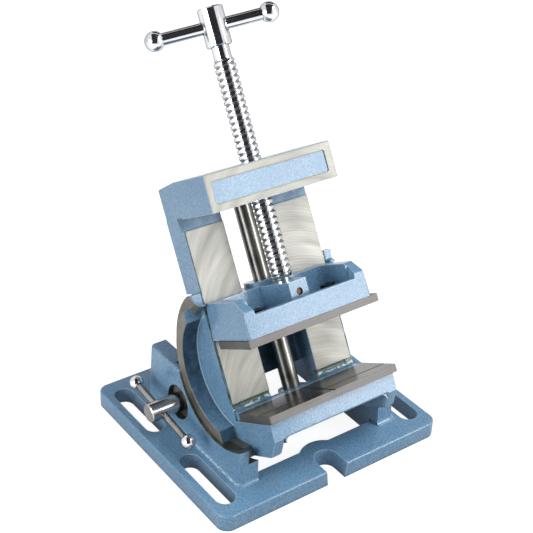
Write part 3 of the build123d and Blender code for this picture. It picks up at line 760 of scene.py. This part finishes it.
def keptPart(shape, level, keepAbove):
    # One end of the solid screw, cut at a height and closed there
    cut = shape.copy()
    geometry = cut.verts[:] + cut.edges[:] + cut.faces[:]
    bmesh.ops.bisect_plane(cut, geom=geometry, dist=thread["cutSlack"], plane_co=bodyPoint(0, 0, level),
                           plane_no=upward, clear_inner=keepAbove, clear_outer=not keepAbove)
    bmesh.ops.holes_fill(cut, edges=[edge for edge in cut.edges if edge.is_boundary])
    return cut


def addBmesh(target, source):
    mesh = bpy.data.meshes.new("Part")
    source.to_mesh(mesh)
    target.from_mesh(mesh)
    bpy.data.meshes.remove(mesh)


def buildLeadScrew():
    material = finishedMaterial("ScrewChrome", screwLook, thread)
    group, sockets = threadTree()
    mesh = meshFromTree(group, {
        sockets["Length"]: thread["top"] - thread["foot"],
        sockets["Pitch"]: thread["pitch"],
        sockets["Crest Radius"]: thread["crestRadius"],
        sockets["Root Radius"]: thread["rootRadius"],
        sockets["Fade"]: thread["fade"],
        sockets["Segments"]: thread["segments"],
        sockets["Material"]: material,
    })
    mesh.transform(bodyMatrix(0, thread["fromWays"], thread["foot"]))
    whole = bmesh.new()
    whole.from_mesh(mesh)
    solid = bmesh.new()
    solid.from_mesh(nodes["lead_screw"].data)
    bmesh.ops.remove_doubles(solid, verts=solid.verts, dist=thread["solidWeld"])
    for part in (keptPart(solid, thread["top"] - thread["overlap"], True),
                 keptPart(solid, thread["foot"] + thread["overlap"], False)):
        addBmesh(whole, part)
        part.free()
    solid.free()
    bmesh.ops.recalc_face_normals(whole, faces=whole.faces)
    for face in whole.faces:
        face.material_index = 0
        face.smooth = True
    for edge in whole.edges:
        edge.smooth = edge.calc_face_angle(0.0) < thread["sharpFrom"]
    whole.to_mesh(mesh)
    whole.free()
    piece = bpy.data.objects.new("LeadScrewThreaded", mesh)
    bpy.context.scene.collection.objects.link(piece)
    mesh.materials.clear()
    mesh.materials.append(material)
    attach(piece, "screw")
    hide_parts("lead_screw")
    print("lead screw", len(mesh.polygons), "faces")


buildLeadScrew()

# Camera at the photograph's viewpoint
view = {
    "place": (-0.3973, -0.5152, 0.5144),
    "turn": 37.33,
    "height": 31.03,
    "roll": 2.58,
    "lens": 79.35,
}


def buildCamera():
    turn, height, roll = (math.radians(view[key]) for key in ("turn", "height", "roll"))
    back = Vector((-math.sin(turn) * math.cos(height), -math.cos(turn) * math.cos(height), math.sin(height)))
    level = Vector((0, 0, 1)).cross(back).normalized()
    rise = back.cross(level)
    right = level * math.cos(roll) + rise * math.sin(roll)
    top = rise * math.cos(roll) - level * math.sin(roll)
    data = bpy.data.cameras.new("Camera")
    data.lens = view["lens"]
    data.sensor_width = 36
    data.sensor_fit = "HORIZONTAL"
    data.clip_start = 0.01
    camera = bpy.data.objects.new("Camera", data)
    camera.matrix_world = Matrix.Translation(Vector(view["place"])) @ \
        Matrix((right, top, back)).transposed().to_4x4()
    bpy.context.scene.collection.objects.link(camera)
    bpy.context.scene.camera = camera


buildCamera()

# Floor, world and lamps
studio = {
    "floorColor": (0.32, 0.32, 0.32, 1),
    "floorGlow": 0.90,
    "floorReach": 4.0,
    "floorLevel": -0.0002,
    "shadeUnder": {"from": 0.100, "to": 0.150, "left": 0.25},
    "worldStrength": 0.25,
    "lamps": {
        "Key": {"place": (0.83, -1.10, 0.56), "size": (0.44, 0.85), "energy": 12.6},
        "Side": {"place": (-1.35, -0.05, 0.40), "size": (0.9, 0.9), "energy": 15.2},
        "Top": {"place": (0.45, -0.40, 1.45), "size": (0.9, 0.9), "energy": 12.5},
        "Fill": {"place": (-0.30, -0.75, 1.45), "size": (1.0, 1.0), "energy": 6.0},
    },
    "aim": (0.0, -0.01, 0.12),
    "cardColor": (0.02, 0.02, 0.025, 1),
    "darkCards": {
        "CardFront": {"turn": -36, "from": 4, "to": 114, "reach": 1.2, "halfWidth": 0.70},
        "CardBack": {"turn": 142, "from": 32, "to": 58, "reach": 1.2, "halfWidth": 0.42},
    },
}


def seenRay(tree):
    # 1 for what the camera, a reflection or a view through glass meets
    path = addNode(tree, "ShaderNodeLightPath")
    seen = calc(tree, "MAXIMUM", path.outputs["Is Camera Ray"], path.outputs["Is Glossy Ray"])
    return calc(tree, "MAXIMUM", seen, path.outputs["Is Transmission Ray"])


def buildFloor():
    mesh = bpy.data.meshes.new("Floor")
    reach, level = studio["floorReach"], studio["floorLevel"]
    mesh.from_pydata([(-reach, -reach, level), (reach, -reach, level),
                      (reach, reach, level), (-reach, reach, level)], [], [(0, 1, 2, 3)])
    material = bpy.data.materials.new("Floor")
    material.use_nodes = True
    tree = material.node_tree
    tree.nodes.remove(tree.nodes["Principled BSDF"])
    matte = addNode(tree, "ShaderNodeBsdfDiffuse")
    matte.inputs["Color"].default_value = studio["floorColor"]
    glow = addNode(tree, "ShaderNodeEmission")
    # Close to the object a reflection shows the floor in its shade
    split = addNode(tree, "ShaderNodeSeparateXYZ")
    feed(tree, objectPoint(tree), split.inputs[0])
    shade = studio["shadeUnder"]
    fromMiddle = farFrom(tree, split.outputs[0], split.outputs[1], 0.0, 0.0)
    lit = spread(tree, fromMiddle, shade["from"], shade["to"], shade["left"], 1.0)
    path = addNode(tree, "ShaderNodeLightPath")
    straight = calc(tree, "MAXIMUM", path.outputs["Is Camera Ray"], path.outputs["Is Transmission Ray"])
    seen = calc(tree, "MAXIMUM", straight, times(tree, path.outputs["Is Glossy Ray"], lit))
    feed(tree, times(tree, seen, studio["floorGlow"]), glow.inputs["Strength"])
    both = addNode(tree, "ShaderNodeAddShader")
    tree.links.new(matte.outputs[0], both.inputs[0])
    tree.links.new(glow.outputs[0], both.inputs[1])
    tree.links.new(both.outputs[0], tree.nodes["Material Output"].inputs["Surface"])
    mesh.materials.append(material)
    floor = bpy.data.objects.new("Floor", mesh)
    bpy.context.scene.collection.objects.link(floor)


def buildWorld():
    world = bpy.data.worlds.new("Studio")
    bpy.context.scene.world = world
    world.use_nodes = True
    tree = world.node_tree
    background = tree.nodes["Background"]
    background.inputs["Color"].default_value = (1, 1, 1, 1)
    feed(tree, spread(tree, seenRay(tree), 0, 1, studio["worldStrength"], 1.0), background.inputs["Strength"])


def aimed(spot):
    spot = Vector(spot)
    turn = (Vector(studio["aim"]) - spot).to_track_quat("-Z", "Y")
    return Matrix.Translation(spot) @ turn.to_matrix().to_4x4()


def buildLamps():
    for name, values in studio["lamps"].items():
        data = bpy.data.lights.new(name, "AREA")
        data.shape = "RECTANGLE"
        data.size, data.size_y = values["size"]
        data.energy = values["energy"]
        lamp = bpy.data.objects.new(name, data)
        lamp.matrix_world = aimed(values["place"])
        bpy.context.scene.collection.objects.link(lamp)


def curvedCard(values, steps=12):
    # A strip of a cylinder that arches over the object, at one compass turn
    turn = math.radians(values["turn"])
    side = Vector((math.cos(turn), math.sin(turn), 0)) * values["halfWidth"]
    forward = Vector((math.sin(turn), -math.cos(turn), 0))
    low, high = math.radians(values["from"]), math.radians(values["to"])
    points = []
    for step in range(steps + 1):
        height = low + (high - low) * step / steps
        middle = Vector(studio["aim"]) + \
            (forward * math.cos(height) + Vector((0, 0, 1)) * math.sin(height)) * values["reach"]
        points += [middle - side, middle + side]
    faces = [(2 * n, 2 * n + 1, 2 * n + 3, 2 * n + 2) for n in range(steps)]
    return points, faces


def buildDarkCards():
    # Dark cards that only gloss and chrome show
    material = bpy.data.materials.new("DarkCard")
    material.use_nodes = True
    shader = material.node_tree.nodes["Principled BSDF"]
    shader.inputs["Base Color"].default_value = studio["cardColor"]
    shader.inputs["Roughness"].default_value = 1
    for name, values in studio["darkCards"].items():
        points, faces = curvedCard(values)
        mesh = bpy.data.meshes.new(name)
        mesh.from_pydata(points, [], faces)
        mesh.materials.append(material)
        card = bpy.data.objects.new(name, mesh)
        for ray in ("visible_camera", "visible_diffuse", "visible_transmission", "visible_shadow"):
            setattr(card, ray, False)
        bpy.context.scene.collection.objects.link(card)


buildFloor()
buildWorld()
buildLamps()
buildDarkCards()
bpy.context.scene.view_settings.view_transform = "Standard"
print("studio with", len(studio["lamps"]), "lamps")
